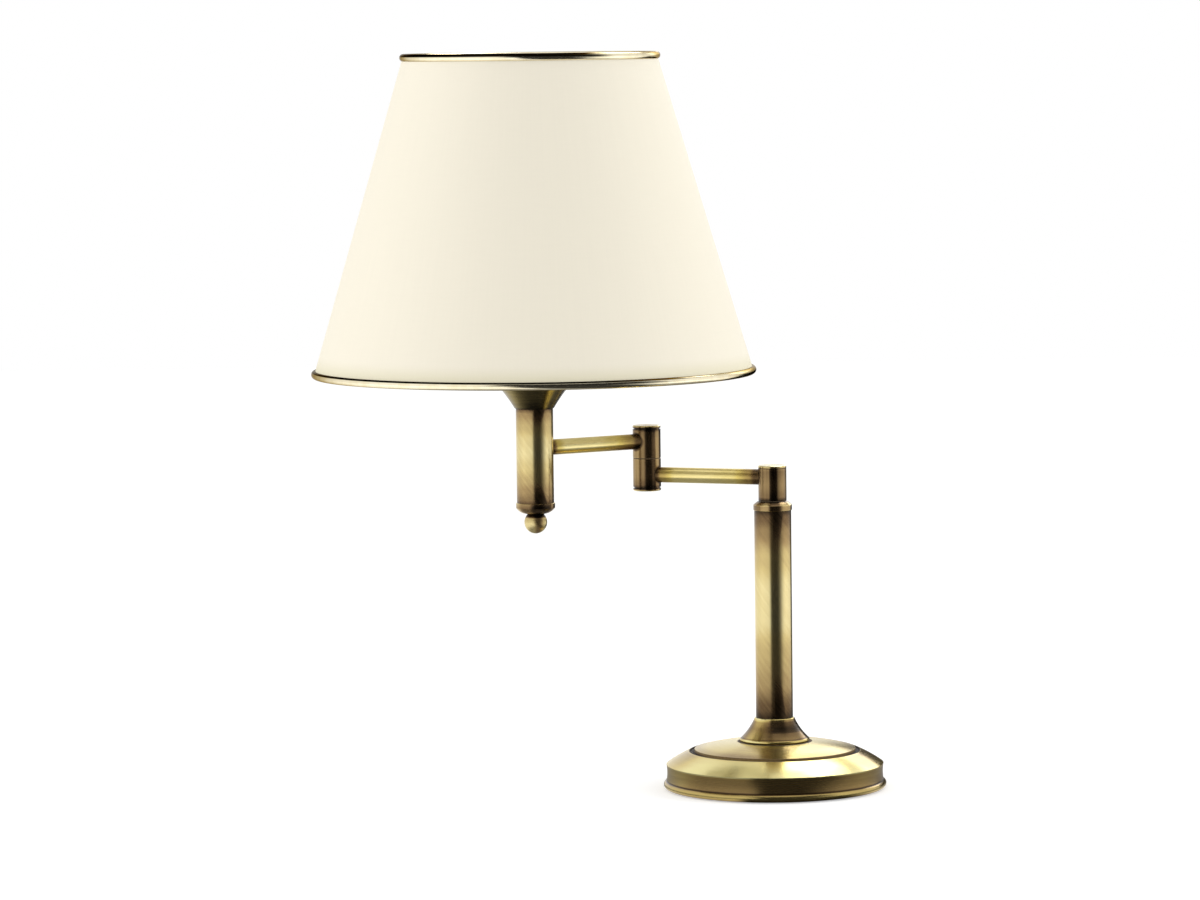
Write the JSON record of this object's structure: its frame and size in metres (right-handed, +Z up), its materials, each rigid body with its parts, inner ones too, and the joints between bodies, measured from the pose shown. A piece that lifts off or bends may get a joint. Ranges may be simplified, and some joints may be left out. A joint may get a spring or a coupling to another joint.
{
  "type": "swing-arm table lamp",
  "caption": "Table lamp with a round weighted base, an upright column, hinged hollow arms that swing sideways and a conical cream shade with gold rims over a bulb.",
  "frame": {"origin": "on the table, at the middle of the pad under the base, on the axis of the column", "axes": "+Z up along the column; -Y towards the viewer of the picture, +X to the viewer's right; the cord inlet is at +Y"},
  "size_m": [0.3899, 0.3028, 0.5063],
  "materials": {
    "antique_brass": "antique brass, brushed, brown patina towards the ends, clear lacquer",
    "plain_brass": "plain turned brass",
    "gold_trim": "bright gold metallised bead",
    "shade_fabric": "smooth cream cloth laminated on a clear sheet",
    "white_wire": "white powder-coated wire",
    "zinc_steel": "zinc-plated steel",
    "nylon": "brown nylon",
    "holder_plastic": "white thermoplastic",
    "porcelain": "unglazed white porcelain",
    "opal_glass": "opal white glass",
    "bulb_metal": "rolled aluminium",
    "bulb_black": "black glass insulator",
    "iron_weight": "rough black casting",
    "felt": "dark felt",
    "brown_plastic": "dark brown plastic",
    "terminal_plastic": "natural white plastic",
    "lead_pvc": "white flexible sheath"
  },
  "bodies": {
    "base": {"base_shell": "antique_brass", "base_weight": "iron_weight", "base_pad": "felt", "base_washer": "zinc_steel", "base_nut": "zinc_steel", "tie_tube": "zinc_steel", "cord_bush": "brown_plastic", "terminal_block": "terminal_plastic", "bell_flare": "antique_brass", "column_tube": "antique_brass", "column_collar": "antique_brass", "swivel_nipple": "zinc_steel", "swivel_spring_washer": "zinc_steel", "swivel_nut": "zinc_steel", "lead_column": "lead_pvc"},
    "lower_arm": {"swivel_friction_washer": "nylon", "swivel_block": "antique_brass", "swivel_cap": "antique_brass", "lower_arm_tube": "antique_brass", "elbow_lower_barrel": "antique_brass", "elbow_lower_cap": "antique_brass", "elbow_friction_washer": "nylon", "elbow_nipple": "zinc_steel", "elbow_lower_nut": "zinc_steel", "elbow_spring_washer": "zinc_steel", "elbow_upper_nut": "zinc_steel", "lead_lower_arm": "lead_pvc"},
    "upper_arm": {"elbow_upper_barrel": "antique_brass", "elbow_upper_cap": "antique_brass", "upper_arm_tube": "antique_brass", "head_tube": "antique_brass", "head_end_cap": "antique_brass", "ball_finial": "antique_brass", "shade_cup": "antique_brass", "head_tee": "plain_brass", "lampholder_shell": "plain_brass", "lampholder_contact": "plain_brass", "bulb_tip": "plain_brass", "shade_top_trim": "gold_trim", "shade_bottom_trim": "gold_trim", "shade_cone": "shade_fabric", "shade_top_hoop": "white_wire", "shade_bottom_hoop": "white_wire", "shade_fitter_ring": "white_wire", "shade_spokes": "white_wire", "head_nipple": "zinc_steel", "finial_stud": "zinc_steel", "lampholder_cap": "holder_plastic", "lampholder_skirt": "holder_plastic", "shade_ring_lower": "holder_plastic", "shade_ring_upper": "holder_plastic", "lampholder_core": "porcelain", "bulb_glass": "opal_glass", "bulb_cap": "bulb_metal", "bulb_insulator": "bulb_black", "lead_upper_arm": "lead_pvc"}
  },
  "joints": [
    {"name": "column_swivel", "type": "hinge", "parent": "base", "child": "lower_arm", "pos_m": [0, 0, 0.1982], "axis": [0, 0, 1], "range_deg": [-170, 170]},
    {"name": "elbow", "type": "hinge", "parent": "lower_arm", "child": "upper_arm", "pos_m": [-0.08542, 0.03417, 0.2258], "axis": [0, 0, 1], "range_deg": [-215, 104]}
  ]
}
